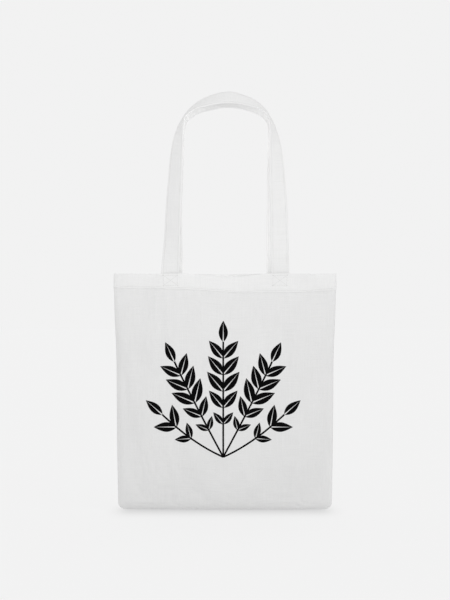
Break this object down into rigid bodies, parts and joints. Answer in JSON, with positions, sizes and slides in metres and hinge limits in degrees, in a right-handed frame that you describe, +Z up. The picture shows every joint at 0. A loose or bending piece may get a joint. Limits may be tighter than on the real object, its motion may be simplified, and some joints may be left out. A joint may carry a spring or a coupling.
{
  "type": "cloth tote bag",
  "caption": "Flat cotton tote bag with a stitched hem at its open mouth and long strap handles sewn inside the front and the back, hanging by the handles.",
  "frame": {"origin": "the point midway between the two handles, under their crest, where a hook or a hand holds the bag up", "axes": "+Z up along the hanging bag, +X to the right seen from the front, +Y from the front to the back"},
  "size_m": [0.3818, 0.0642, 0.7158],
  "materials": {
    "panel_cloth": "matt plain-woven white cotton",
    "handle_cloth": "matt plain-woven white cotton, folded and stitched",
    "sewing_thread": "white cotton thread",
    "print_ink": "matt black screen-print ink"
  },
  "bodies": {
    "root": {"front_panel": "panel_cloth", "back_panel": "panel_cloth", "front_handle": "handle_cloth", "back_handle": "handle_cloth"}
  },
  "joints": []
}
